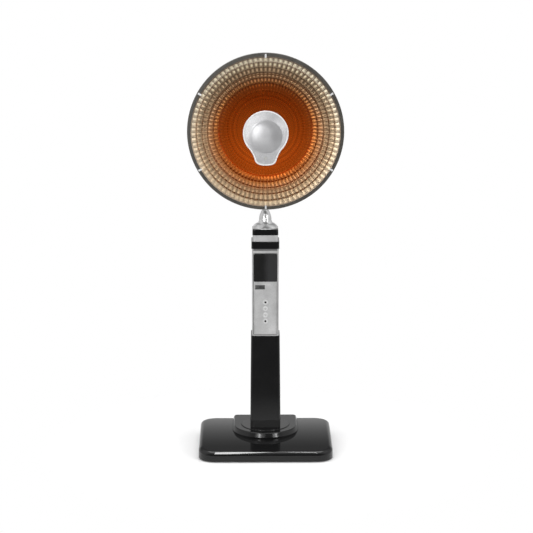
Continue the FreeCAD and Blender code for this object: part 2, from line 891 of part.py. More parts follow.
def reflector():
    wall = reflector_thickness
    hole = holder_radius + slip
    floor_y = reflector_y + bowl_depth
    steps = step_points()
    last_radius, last_y = steps[-1]
    smooth = (last_radius + bowl_flat) / 2
    front = [on_dish(flange_radius, reflector_y)] + [on_dish(r, y) for r, y in steps]
    back = [on_dish(flange_radius, reflector_y + wall)] + [on_dish(r + wall, y + wall) for r, y in steps]
    bend = edge(on_dish(last_radius, last_y), on_dish(smooth, bowl_level(smooth)),
                on_dish(bowl_flat, floor_y))
    bend_back = edge(on_dish(last_radius + wall, last_y + wall),
                     on_dish(smooth + wall, bowl_level(smooth) + wall),
                     on_dish(bowl_flat + wall, floor_y + wall))
    middle = [on_dish(bowl_flat, floor_y), on_dish(hole, floor_y), on_dish(hole, floor_y + wall),
              on_dish(bowl_flat + wall, floor_y + wall)]
    closing = [edge(back[0], front[0])]
    return turned_back(chain(front) + [bend] + chain(middle) + [bend_back] + chain(back[::-1]) + closing)


def back_shell():
    wall = shell_thickness
    hole = holder_radius + slip
    front_y = shell_back - wall
    belly_y = shell_y + shell_belly_depth
    outline = chain([on_dish(flange_radius, shell_y + wall), on_dish(flange_radius, shell_y),
                     on_dish(shell_mouth, shell_y)])
    outline.append(edge(on_dish(shell_mouth, shell_y), on_dish(shell_belly, belly_y),
                        on_dish(shell_flat, front_y)))
    outline += chain([on_dish(shell_flat, front_y), on_dish(hole, front_y), on_dish(hole, shell_back),
                      on_dish(shell_flat + wall, shell_back)])
    outline.append(edge(on_dish(shell_flat + wall, shell_back), on_dish(shell_belly + wall, belly_y + wall),
                        on_dish(shell_mouth + wall, shell_y + wall)))
    outline.append(edge(on_dish(shell_mouth + wall, shell_y + wall), on_dish(flange_radius, shell_y + wall)))
    shell = turned_back(outline)
    for x, z in can_screw_places():
        shell = shell.cut(rod_y(can_screw_shank + fit, x, z, front_y, shell_back))
    return shell


def rim_ring():
    back = dish_front_y + rim_depth
    inner_wall = rim_radius - rim_wall
    points = [on_dish(rim_inner, dish_front_y), on_dish(rim_radius, dish_front_y), on_dish(rim_radius, back),
              on_dish(inner_wall, back), on_dish(inner_wall, dish_front_y + rim_wall),
              on_dish(rim_inner, dish_front_y + rim_wall), on_dish(rim_inner, dish_front_y)]
    return turned_back(chain(points))


def rim_clips():
    half = clip_width / 2
    ring_front = dish_front_y - 2 * guard_ring_radius - 2 * weld
    finger = box(-half, half, ring_front - clip_thickness, ring_front,
                 dish_z + clip_inner, dish_z + clip_outer)
    foot = box(-half, half, ring_front, dish_front_y, dish_z + clip_foot, dish_z + clip_outer)
    clip = fused([finger, foot])
    return Part.makeCompound([around_dish(clip, 360 / clip_count * place) for place in range(clip_count)])


# Guard and badge

def wire_end_y():
    return dish_front_y - 2 * guard_ring_radius - wire_radius - 2 * weld


def dome_centre():
    end = guard_outer + guard_ring_radius
    start = hub_radius + fit
    rise = wire_end_y() - hub_y
    middle_r = (start + end) / 2
    middle_y = (hub_y + wire_end_y()) / 2
    return middle_y + middle_r * (end - start) / rise


def dome_radius_of_wires():
    return math.hypot(hub_radius + fit, dome_centre() - hub_y)


def guard_wires():
    centre = Vector(0, dome_centre(), dish_z)
    reach = dome_radius_of_wires()
    start = math.degrees(math.asin((hub_radius + fit) / reach))
    end = math.degrees(math.asin((guard_outer + guard_ring_radius) / reach))
    section = Part.Circle(centre - BACK * reach, UP, wire_radius).toShape()
    section = Part.Face(Part.Wire(section)).rotated(centre, SIDE, -start)
    wire = section.revolve(centre, -SIDE, end - start)
    pitch = 360 / wire_count
    return Part.makeCompound([around_dish(wire, pitch * (place + 0.5)) for place in range(wire_count)])


def guard_rings():
    outer_y = dish_front_y - guard_ring_radius - weld
    outer = Part.makeTorus(guard_outer, guard_ring_radius, Vector(0, outer_y, dish_z), BACK)
    wire_y = dome_centre() - math.sqrt(dome_radius_of_wires() ** 2 - guard_middle ** 2)
    lean = math.asin(guard_middle / dome_radius_of_wires())
    middle_y = wire_y + (wire_radius + guard_ring_radius + weld) / math.cos(lean)
    middle = Part.makeTorus(guard_middle, guard_ring_radius, Vector(0, middle_y, dish_z), BACK)
    return Part.makeCompound([outer, middle])


def guard_hub():
    return rod_y(hub_radius, 0, dish_z, badge_back, badge_back + hub_thickness)


def badge_plate():
    cheek = turn(-badge_cheek_angle, badge_radius)

    def spot(x, drop):
        return Vector(x, badge_back, dish_z - badge_low - drop)

    right_cheek = spot(cheek.x, -cheek.y)
    left_cheek = spot(-cheek.x, -cheek.y)
    outline = [edge(left_cheek, spot(0, -badge_radius), right_cheek)]
    outline.append(edge(right_cheek, spot(badge_waist, badge_waist_drop), spot(badge_lobe, badge_lobe_drop)))
    outline.append(edge(spot(badge_lobe, badge_lobe_drop), spot(badge_heel, badge_heel_drop),
                        spot(badge_toe, badge_toe_drop)))
    outline.append(edge(spot(badge_toe, badge_toe_drop), spot(0, badge_drop),
                        spot(-badge_toe, badge_toe_drop)))
    outline.append(edge(spot(-badge_toe, badge_toe_drop), spot(-badge_heel, badge_heel_drop),
                        spot(-badge_lobe, badge_lobe_drop)))
    outline.append(edge(spot(-badge_lobe, badge_lobe_drop), spot(-badge_waist, badge_waist_drop), left_cheek))
    return face(outline).extrude(Vector(0, -badge_thickness, 0))


def badge_dome():
    tip = badge_front - dome_height
    rim = on_dish(dome_radius, badge_front - dome_edge)
    outline = [bulge_edge(rim, tip)]
    outline += chain([on_dish(0, tip), on_dish(0, badge_front), on_dish(dome_radius, badge_front), rim])
    return turned_back(outline).translated(Vector(0, 0, -dome_drop))


def badge_screw():
    z = dish_z - badge_low - badge_screw_drop
    return rod_y(badge_screw_radius, 0, z, badge_front - badge_screw_height, badge_front)


# Lamp

def lamp_holder():
    body = rod_y(holder_radius, 0, dish_z, holder_tip, shell_back + holder_back)
    flange = rod_y(holder_flange, 0, dish_z, bowl_back, bowl_back + shell_gap)
    return fused([body, flange]).cut(rod_y(lamp_radius + fit, 0, dish_z, holder_tip, lamp_back))


def lamp_tube():
    tube = rod_y(lamp_radius, 0, dish_z, lamp_front, lamp_back)
    return tube.cut(rod_y(lamp_radius - lamp_wall, 0, dish_z, lamp_front, lamp_back))


def lamp_filament():
    return rod_y(filament_radius, 0, dish_z, lamp_front, lamp_back)


# Can behind the dish

def can_screw_places():
    step = 360 / can_screw_count
    spots = [turn(step * (place + 0.5), can_screw_circle) for place in range(can_screw_count)]
    return [(spot.x, dish_z + spot.y) for spot in spots]


def rear_housing():
    side_end = shell_back + can_depth - can_bulge
    back = shell_back + can_depth
    wall = can_wall
    inner = can_radius - wall
    brim = shell_back + can_flange_thickness

    outline = chain([on_dish(inner, shell_back), on_dish(can_flange, shell_back), on_dish(can_flange, brim),
                     on_dish(can_radius, brim), on_dish(can_radius, side_end)])
    outline.append(bulge_edge(on_dish(can_radius, side_end), back))
    outline.append(edge(on_dish(0, back), on_dish(0, back - wall)))
    outline.append(bulge_edge(on_dish(inner, side_end - wall), back - wall))
    outline.append(edge(on_dish(inner, side_end - wall), on_dish(inner, shell_back)))
    can = turned_back(outline)
    pad = box(-can_pad_width / 2, can_pad_width / 2, axis_y - can_pad_depth / 2, axis_y + can_pad_depth / 2,
              lug_seat, dish_z)
    can = fused([can, pad.cut(rod_y(inner, 0, dish_z, shell_back, back))])
    for place in range(vent_count):
        z = dish_z + vent_pitch * (place - (vent_count - 1) / 2)
        can = can.cut(box(-vent_length / 2, vent_length / 2, side_end, back, z - vent_width / 2,
                          z + vent_width / 2))
    for x, z in can_screw_places():
        can = can.cut(rod_y(can_screw_shank + fit, x, z, shell_back, brim))
    return can


def housing_screws():
    brim = shell_back + can_flange_thickness
    screws = []
    for x, z in can_screw_places():
        head = rod_y(can_screw_head, x, z, brim, brim + can_screw_head_height)
        screws.append(fused([head, rod_y(can_screw_shank, x, z, shell_back - shell_thickness, brim)]))
    return Part.makeCompound(screws)


def terminal_block():
    return box(terminal_x - terminal_width / 2, terminal_x + terminal_width / 2, shell_back,
               shell_back + terminal_depth, dish_z - terminal_height / 2, dish_z + terminal_height / 2)


def thermal_cutout():
    return rod_y(cutout_radius, cutout_x, dish_z, shell_back, shell_back + cutout_height)


pieces = {
    "base_cover": base_cover(),
    "base_floor": base_floor(),
    "base_feet": base_feet(),
    "base_screws": base_screws(),
    "ballast_plate": ballast_plate(),
    "tip_switch": tip_switch(),
    "tip_plunger": tip_plunger(),
    "cord_gland": cord_gland(),
    "pedestal_plate": pedestal_plate(),
    "swivel_bush": swivel_bush(),
    "swing_motor": swing_motor(),
    "swivel_disc": swivel_disc(),
    "swivel_shaft": swivel_shaft(),
    "shaft_retainer": shaft_retainer(),
    "drive_shaft": drive_shaft(),
    "column_foot": column_foot(),
    "column_front": column_front(),
    "column_rear": column_rear(),
    "column_screws": column_screws(),
    "mast_tube": mast_tube(),
    "control_housing": control_housing(),
    "control_panel": control_panel(),
    "button_rings": button_rings(),
    "button_power": button(button_z[0]),
    "button_heat": button(button_z[1]),
    "button_swing": button(button_z[2]),
    "button_timer": button(button_z[3]),
    "control_board": control_board(),
    "tact_switches": tact_switches(),
    "display_window": display_window(),
    "display_board": display_board(),
    "trim_ring": band(trim_width, trim_depth, housing_top, trim_top),
    "collar_ring": band(collar_width, collar_depth, trim_top, collar_top),
    "silver_band": band(band_width, band_depth, collar_top, band_top),
    "column_cap": column_cap(),
    "neck_bell": neck_bell(),
    "neck_screw": neck_screw(),
    "neck_socket": neck_socket(),
    "neck_tube": neck_tube(),
    "tilt_fork": tilt_fork(),
    "tilt_bolt": tilt_bolt(),
    "tilt_nut": tilt_nut(),
    "tilt_lug": tilt_lug(),
    "rear_housing": rear_housing(),
    "housing_screws": housing_screws(),
    "back_shell": back_shell(),
    "reflector": reflector(),
    "rim_ring": rim_ring(),
    "rim_clips": rim_clips(),
    "guard_wires": guard_wires(),
    "guard_rings": guard_rings(),
    "guard_hub": guard_hub(),
    "badge_plate": badge_plate(),
    "badge_dome": badge_dome(),
    "badge_screw": badge_screw(),
    "lamp_holder": lamp_holder(),
    "lamp_tube": lamp_tube(),
    "lamp_filament": lamp_filament(),
    "terminal_block": terminal_block(),
    "thermal_cutout": thermal_cutout(),
}

os.makedirs("parts", exist_ok=True)
for name, shape in pieces.items():
    shape.exportStep(os.path.join("parts", name + ".step"))
    print(name, len(shape.Solids), round(shape.Volume), shape.isValid())
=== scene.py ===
import json
import math
import bmesh
import bpy
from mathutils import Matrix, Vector

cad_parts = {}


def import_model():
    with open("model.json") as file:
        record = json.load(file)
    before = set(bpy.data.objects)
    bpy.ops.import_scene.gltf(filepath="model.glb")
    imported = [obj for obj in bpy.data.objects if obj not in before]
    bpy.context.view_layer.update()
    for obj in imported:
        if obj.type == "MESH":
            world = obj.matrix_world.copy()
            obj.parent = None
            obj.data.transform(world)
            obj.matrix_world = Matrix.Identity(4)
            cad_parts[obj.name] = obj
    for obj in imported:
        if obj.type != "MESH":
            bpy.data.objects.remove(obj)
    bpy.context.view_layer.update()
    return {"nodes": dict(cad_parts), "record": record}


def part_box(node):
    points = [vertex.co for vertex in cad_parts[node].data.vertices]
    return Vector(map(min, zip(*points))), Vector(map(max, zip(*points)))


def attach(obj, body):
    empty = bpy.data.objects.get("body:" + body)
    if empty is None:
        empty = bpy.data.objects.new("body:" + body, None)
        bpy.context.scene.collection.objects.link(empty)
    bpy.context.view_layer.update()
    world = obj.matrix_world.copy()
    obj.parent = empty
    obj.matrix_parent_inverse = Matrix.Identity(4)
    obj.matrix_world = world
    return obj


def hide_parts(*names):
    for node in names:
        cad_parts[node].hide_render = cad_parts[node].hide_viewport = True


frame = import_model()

nodes = frame["nodes"]

# Sizes are in metres and angles in degrees.

# Camera: where the photograph was taken from
CAMERA_DISTANCE = 4.5
CAMERA_HEIGHT = 1.40
CAMERA_AZIMUTH = 0.5        # to the left of the front
CAMERA_PITCH = 11.41        # downwards
CAMERA_ASIDE = 0.003        # sideways step that centres the column as in the picture
CAMERA_LENS = 118.0         # millimetres

# Dish: its axis and radius from the frame, and the bowl's own sizes
rim_low, rim_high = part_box("rim_ring")
bowl_low, bowl_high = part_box("reflector")
DISH_Z = (rim_low.z + rim_high.z) / 2
DISH_R = (rim_high.x - rim_low.x) / 2
BOWL_MOUTH = 0.189
BOWL_LAND = 0.0006          # between the flange's inner edge and the first step
BOWL_DEPTH = 0.086
BOWL_FLAT = 0.050           # radius of the flat bottom
BOWL_HOLE = 0.0183          # radius of the lamp's hole
BOWL_SHEET = 0.0006
BOWL_ROWS = 28              # rows of faces between the last step and the flat bottom
STEPS = 5
STEP_PITCH = 0.014
STEP_DROP = 0.003           # how far a step's tread goes back
STEP_RUN = 0.002            # how far its riser goes in
TREAD_SHARES = (0.0, 0.06, 0.2, 0.4, 0.6, 0.8, 0.94, 1.0)
RISER_ROUND = ((0.75, 0.2), (0.2, 0.85))
FLUTES = 90
FLUTE_DEPTH = 0.0010
FLUTE_POINTS = 8
FLUTE_FILL = 0.7            # below 1 a flute is deep over more of its step
FLUTE_REST = 0.35           # share of the flutes' depth that runs out past the last step
FLUTE_END = 0.5             # and where it ends on the way to the flat bottom

# Shield in the middle of the dish: half its edge, as x and z from the middle of its round part
badge_low, badge_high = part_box("badge_plate")
dome_low, dome_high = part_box("badge_dome")
BADGE_R = 0.0576
SHIELD_SIDE = [(0.0329, -0.0536), (0.0276, -0.0672), (0.0236, -0.0748), (0.0155, -0.0798)]
SHIELD_TIP = -0.0816
ROUND_POINTS = 72
SIDE_POINTS = 10
TIP_POINTS = 14
DOME_SEAT = 0.0013          # how deep the dome sits in the shield
DOME_ROWS = 19
DOME_POINTS = 96
DOME_ROUND = 2.6            # above 2 the dome is fuller than a sphere's cap
DOME_EASE = 12              # the dome starts softly over the first twelfth of its radius
LIP_PROUD = 0.0004          # how far the lip round the dome stands out of the shield
LIP_WIDTH = 0.0004
LIP_ROUND = 0.0002
LIP_BEND = 0.0003

# Profiles of the shield, as inset from the edge and depth behind the front
PLATE_ROWS = [(0.0002, 0.0015), (0.0006, 0.0013)]
BEAD_ROWS = [(0.0, 0.0018), (0.0, 0.0010), (0.00035, 0.0004), (0.0010, 0.0), (0.0024, 0.0), (0.0032, 0.0004),
             (0.0036, 0.0010), (0.0036, 0.0018)]

# Profiles of a key and of the round inlay in its middle, as radius and depth behind the face
KEY_POINTS = 48
KEY_STEM = 0.0020
KEY_ROWS = [(KEY_STEM, 0.0041), (0.0066, 0.0040), (0.0066, 0.0028), (0.0052, 0.0028), (0.0052, 0.0006),
            (0.00505, 0.00025), (0.0047, 0.00005), (0.0044, 0.0), (0.0038, 0.0001), (0.0034, 0.0005),
            (0.0031, 0.0006)]
INLAY_POINTS = 32
INLAY_ROWS = [(0.0030, 0.0006), (0.0030, 0.0003), (0.0027, 0.00015), (0.0015, 0.00005)]

# Receiver strip, from the panel's upper left corner
RECEIVER_LEFT = 0.0006
RECEIVER_RIGHT = 0.0262
RECEIVER_TOP = 0.0035
RECEIVER_BOTTOM = 0.0150
RECEIVER_PROUD = 0.0004
RECEIVER_CORNER = 0.0010
RECEIVER_EDGE = 0.0003

# Seal round the window and the panel; its profile as inset and depth behind the housing's front
SEAL_SIDE = 0.0014
SEAL_END = 0.0016
SEAL_CORNER = 0.003
SEAL_ROWS = [(0.0, 0.0002), (0.0, -0.0002), (0.0003, -0.0004), (0.0008, -0.0004), (0.0011, -0.0002),
             (0.0011, 0.0002)]

CORNER_STEPS = 6            # faces round a rounded corner
SHARP_ANGLE = 35.0          # edges sharper than this aren't smoothed
SOFT_ANGLE = 50.0           # edges sharper than this are rounded on the solids
SOFT_WIDE = 0.0008
SOFT_NARROW = 0.0004

FLOOR_HALF = 3.0
FLOOR_FADE = (0.22, 0.6)    # the floor is whole up to the first radius and gone at the second

# Colours along the dish's radius, from behind the shield to the rim: in the bowl, a copper tone that pales to
# the rim, with the lamp's orange painted in the middle as a reflection and painted shade on some steps
TINT_START = 0.04
# The painted orange reflection and glow move down with the tints, so more of the bowl is orange low down
TINT_DROP = 0.0085          # the bowl's tints lie round a point below the axis
BOWL_COLOURS = [(0.0, (0.78, 0.19, 0.024)), (0.35, (0.70, 0.14, 0.014)), (0.48, (0.58, 0.165, 0.034)),
                (0.56, (0.49, 0.20, 0.060)), (0.63, (0.66, 0.34, 0.155)), (0.69, (0.68, 0.44, 0.245)),
                (0.75, (0.60, 0.42, 0.25)), (0.82, (0.70, 0.53, 0.34)), (0.88, (0.94, 0.76, 0.53)),
                (0.92, (1.0, 0.86, 0.65)), (1.0, (1.0, 0.86, 0.65))]
# The bowl's painted glow, though the bowl is no lamp
BOWL_GLOW = [(0.0, (0.30, 0.055, 0.004)), (0.3, (0.20, 0.030, 0.002)), (0.5, (0.07, 0.011, 0.0)),
             (0.66, (0.0, 0.0, 0.0))]
# The wires' colours: a dark bronze plating, with the bowl's orange painted on towards the middle as a
# reflection
GUARD_COLOURS = [(0.05, (0.08, 0.016, 0.002)), (0.50, (0.08, 0.017, 0.002)), (0.68, (0.20, 0.10, 0.046)),
                 (0.86, (0.36, 0.25, 0.16)), (1.0, (0.50, 0.40, 0.30))]
# The wires' painted glow, towards the middle, though the wires are no lamp
GUARD_GLOW = [(0.0, (0.20, 0.031, 0.003)), (0.45, (0.20, 0.034, 0.004)), (0.62, (0.10, 0.040, 0.014)),
              (0.80, (0.0, 0.0, 0.0))]
GUARD_TINT = (0.5, 0.24, 0.11, 1)


def grey(level):
    return (level, level, level)


# Painted light and shade across a step's tread and riser: lighter on the tread, darker at the folds into the
# riser
TREAD_LIGHT_AND_SHADE = [(0.0, grey(0.3)), (0.2, grey(0.85)), (0.4, grey(1)), (0.6, grey(0.8)), (0.82, grey(0.2)),
               (1.0, grey(0.2))]
INK_DARK = (0.004, 0.004, 0.0042)
INK_LIGHT = (0.008, 0.008, 0.0082)
WHITE = (1, 1, 1, 1)
PATCHES = 30                # broad patches are this many times as wide as the grain
RELIEF = 0.0004             # height of the grain at full strength
COAT_ROUGHNESS = 0.05


# Shader helpers

def feed(tree, made, inputs):
    """Links each input to a socket, or sets it to a constant."""
    for key, value in inputs.items():
        if isinstance(value, bpy.types.NodeSocket):
            tree.links.new(value, made.inputs[key])
        else:
            made.inputs[key].default_value = value


def node(tree, kind, inputs=None, **settings):
    made = tree.nodes.new("ShaderNode" + kind)
    for key, value in settings.items():
        setattr(made, key, value)
    feed(tree, made, inputs or {})
    return made


def maths(tree, operation, *values):
    return node(tree, "Math", dict(enumerate(values)), operation=operation).outputs["Value"]


def blend(tree, share, none, full):
    return node(tree, "Mix", {0: share, 2: none, 3: full}, data_type="FLOAT").outputs[0]


def blank(name):
    material = bpy.data.materials.new(name + "_finish")
    material.use_nodes = True
    tree = material.node_tree
    return material, tree, tree.nodes["Principled BSDF"]


def ramp(tree, factor, stops):
    made = node(tree, "ValToRGB", {"Fac": factor})
    band = made.color_ramp
    for element, (position, colour) in zip(band.elements, (stops[0], stops[-1])):
        element.position = position
        element.color = (*colour, 1)
    for position, colour in stops[1:-1]:
        band.elements.new(position).color = (*colour, 1)
    return made.outputs["Color"]


def spread(tree, value, low, high, start=0.0, end=1.0):
    """A value that goes from low to high while another goes from start to end."""
    limits = {"From Min": start, "From Max": end, "To Min": low, "To Max": high}
    return node(tree, "MapRange", {"Value": value, **limits}).outputs["Result"]


def vary(tree, grain, low, high):
    """Spreads the range that a noise mostly keeps to."""
    return spread(tree, grain, low, high, 0.3, 0.7)


def tinted(tree, colour, shade):
    return node(tree, "VectorMath", {0: colour, 3: shade}, operation="SCALE").outputs["Vector"]


def place(tree, stretch=(1, 1, 1)):
    """The place on the piece, in its own frame."""
    where = node(tree, "TexCoord").outputs["Object"]
    return node(tree, "Mapping", {"Vector": where, "Scale": stretch}).outputs["Vector"]


def axes(tree):
    return node(tree, "SeparateXYZ", {"Vector": place(tree)}).outputs


def noise(tree, where, scale, detail=4.0):
    look = {"Scale": scale, "Detail": detail, "Roughness": 0.55}
    return node(tree, "TexNoise", {"Vector": where, **look}).outputs["Fac"]


def turned(tree, radius, scale, detail):
    """Rings of uneven width, as left by a lathe."""
    look = {"W": radius, "Scale": scale, "Detail": detail}
    return node(tree, "TexNoise", look, noise_dimensions="1D").outputs["Fac"]


def bump(tree, height, strength, distance):
    look = {"Height": height, "Strength": strength, "Distance": distance}
    return node(tree, "Bump", look).outputs["Normal"]


def dish_radius(tree, drop=0.0):
    """Distance from the dish's axis, or from a line below it."""
    centred = node(tree, "VectorMath", {0: place(tree), 1: (0, 0, DISH_Z - drop)}, operation="SUBTRACT")
    flat = node(tree, "VectorMath", {0: centred.outputs["Vector"], 1: (1, 0, 1)}, operation="MULTIPLY")
    return node(tree, "VectorMath", {0: flat.outputs["Vector"]}, operation="LENGTH").outputs["Value"]


def dish_share(tree, drop=0.0):
    return spread(tree, dish_radius(tree, drop), 0.0, 1.0, TINT_START, DISH_R)


def up_dish(tree, height, low, high, start, end):
    """A value that goes from low to high between two heights, which are given from the dish's axis."""
    return spread(tree, height, low, high, DISH_Z + start, DISH_Z + end)


# Finishes

def surface(name, dark, light, smooth, rough, grain, relief=0.1, metallic=0.0, coat=0.0, specular=0.5,
            stretch=(1, 1, 1)):
    """A finish whose colour, roughness and relief vary with a fine grain and broad patches."""
    material, tree, shader = blank(name)
    where = place(tree, stretch)
    fine = noise(tree, where, grain)
    broad = noise(tree, where, grain / PATCHES, 3.0)
    both = maths(tree, "MULTIPLY_ADD", fine, broad, 0.15)
    feed(tree, shader, {
        "Base Color": ramp(tree, both, [(0.2, dark), (0.7, light)]),
        "Roughness": vary(tree, broad, smooth, rough),
        "Normal": bump(tree, fine, relief, RELIEF),
        "Metallic": metallic,
        "Coat Weight": coat,
        "Coat Roughness": COAT_ROUGHNESS,
        "Specular IOR Level": specular,
    })
    return material


def copper_mirror():
    """Polished copper-coloured bowl with turning lines, deep orange in the middle and paler to the rim, the
    orange a painted reflection and glow of the lamp, with painted highlights and shade on its steps.
    """
    material, tree, shader = blank("copper_mirror")
    radius = dish_radius(tree)
    along = dish_share(tree, TINT_DROP)
    height = axes(tree)["Z"]
    lines = turned(tree, radius, 900.0, 3.0)
    bands = turned(tree, radius, 170.0, 1.0)

    # Painted highlights: spots, one to each flute round the bowl and each step across it, with painted shade
    # at the folds between, sharper towards the top
    turn = maths(tree, "ARCTAN2", maths(tree, "SUBTRACT", height, DISH_Z), axes(tree)["X"])
    ridge = maths(tree, "COSINE", maths(tree, "MULTIPLY", turn, FLUTES))
    crest = maths(tree, "POWER", spread(tree, ridge, 1.0, 0.0, -1.0, 1.0), 1.6)
    tread = maths(tree, "DIVIDE", maths(tree, "SUBTRACT", BOWL_MOUTH, radius), STEP_PITCH)
    fold = ramp(tree, maths(tree, "FRACT", tread), TREAD_LIGHT_AND_SHADE)
    fold = maths(tree, "POWER", fold, up_dish(tree, height, 0.5, 2.2, -0.08, 0.12))
    painted_spots = spread(tree, maths(tree, "MULTIPLY", crest, fold), 0.40, 1.80)

    # The painted highlights' strength, which is none in the middle, and less low down and on the outermost
    # step
    edge = spread(tree, along, 0.0, 1.0, 0.40, 0.53)
    depth = maths(tree, "MULTIPLY", up_dish(tree, height, 0.45, 1.0, -0.02, 0.13), edge)
    depth = maths(tree, "MULTIPLY", depth, spread(tree, radius, 1.0, 0.55, 0.173, 0.178))
    painted_spots = blend(tree, depth, 0.95, painted_spots)

    # Broad shade, darker at the top of the middle and low down on the steps, most on the innermost step
    inner = up_dish(tree, height, 1.0, 0.72, -0.06, 0.12)
    outer = up_dish(tree, height, 0.76, 0.9, -0.17, 0.02)
    low = up_dish(tree, height, 0.52, 1.0, -0.12, -0.05)
    first_row = blend(tree, spread(tree, along, 0.0, 1.0, 0.50, 0.58), low, 1.0)
    shade = blend(tree, edge, inner, maths(tree, "MULTIPLY", outer, first_row))
    shade = maths(tree, "MULTIPLY", shade, vary(tree, bands, 0.84, 1.16))
    shade = maths(tree, "MULTIPLY", shade, painted_spots)

    satin = spread(tree, along, 0.20, 0.44, 0.42, 0.62)
    # Painted glow, as though the bowl gave off the lamp's orange light, strongest low down
    painted_glow = up_dish(tree, height, 1.6, 0.15, -0.11, 0.09)
    feed(tree, shader, {
        "Base Color": tinted(tree, ramp(tree, along, BOWL_COLOURS), shade),
        "Roughness": maths(tree, "MULTIPLY_ADD", lines, 0.14, satin),
        "Normal": bump(tree, lines, 0.12, 0.0003),
        "Metallic": 1.0,
        "Emission Color": ramp(tree, along, BOWL_GLOW),
        "Emission Strength": maths(tree, "MULTIPLY", painted_glow, vary(tree, bands, 0.8, 1.2)),
    })
    return material


def guard_plating():
    """Plated wire, dark bronze, which takes on the bowl's orange towards the middle as a painted reflection,
    with a painted glow and painted shade towards the top.
    """
    material, tree, shader = blank("guard_plating")
    along = dish_share(tree)
    height = axes(tree)["Z"]
    streak = noise(tree, place(tree), 260.0, 5.0)
    tone = maths(tree, "MULTIPLY_ADD", streak, 0.12, along)
    # Painted shade, darker towards the top
    shade = up_dish(tree, height, 1.0, 0.32, -0.08, 0.08)
    # The wire's glow is painted, stronger low down
    feed(tree, shader, {
        "Base Color": tinted(tree, ramp(tree, tone, GUARD_COLOURS), shade),
        "Roughness": vary(tree, streak, 0.40, 0.55),
        "Normal": bump(tree, streak, 0.05, 0.0002),
        "Metallic": 1.0,
        "Specular Tint": GUARD_TINT,
        "Emission Color": ramp(tree, along, GUARD_GLOW),
        "Emission Strength": up_dish(tree, height, 1.4, 0.65, -0.11, 0.09),
    })
    return material


def base_gloss():
    """Polished black moulding, duller low down on its sides."""
    material, tree, shader = blank("base_gloss")
    where = place(tree)
    fine = noise(tree, where, 900.0)
    broad = noise(tree, where, 900.0 / PATCHES, 3.0)
    dulled = spread(tree, axes(tree)["Z"], 0.26, 0.02, 0.012, 0.026)
    feed(tree, shader, {
        "Base Color": ramp(tree, fine, [(0.3, INK_DARK), (0.7, INK_LIGHT)]),
        "Roughness": maths(tree, "MULTIPLY_ADD", broad, 0.05, dulled),
        "Normal": bump(tree, fine, 0.015, RELIEF),
        "Coat Weight": 0.1,
        "Coat Roughness": COAT_ROUGHNESS,
        "Specular IOR Level": 0.33,
    })
    return material


def smoked_window():
    """Smoked glossy window, a little paler on the right, a painted sheen."""
    material, tree, shader = blank("smoked_window")
    cloud = noise(tree, place(tree), 60.0)
    # Painted sheen, paler towards the right
    right_sheen = spread(tree, axes(tree)["X"], 0.0, 0.8, -0.006, 0.010)
    tone = maths(tree, "MULTIPLY_ADD", cloud, 0.3, right_sheen)
    feed(tree, shader, {
        "Base Color": ramp(tree, tone, [(0.1, grey(0.006)), (0.9, (0.030, 0.030, 0.031))]),
        "Roughness": vary(tree, cloud, 0.06, 0.14),
        "Normal": bump(tree, cloud, 0.02, 0.0002),
        "Coat Weight": 0.4,
        "Coat Roughness": 0.04,
    })
    return material


def lamp_glass():
    """Clear glass with a warm haze."""
    material, tree, shader = blank("lamp_glass")
    haze = noise(tree, place(tree), 120.0)
    feed(tree, shader, {
        "Base Color": ramp(tree, haze, [(0.3, (1.0, 0.72, 0.45)), (0.7, (1.0, 0.82, 0.6))]),
        "Roughness": spread(tree, haze, 0.05, 0.15),
        "Transmission Weight": 0.8,
        "IOR": 1.45,
    })
    return material


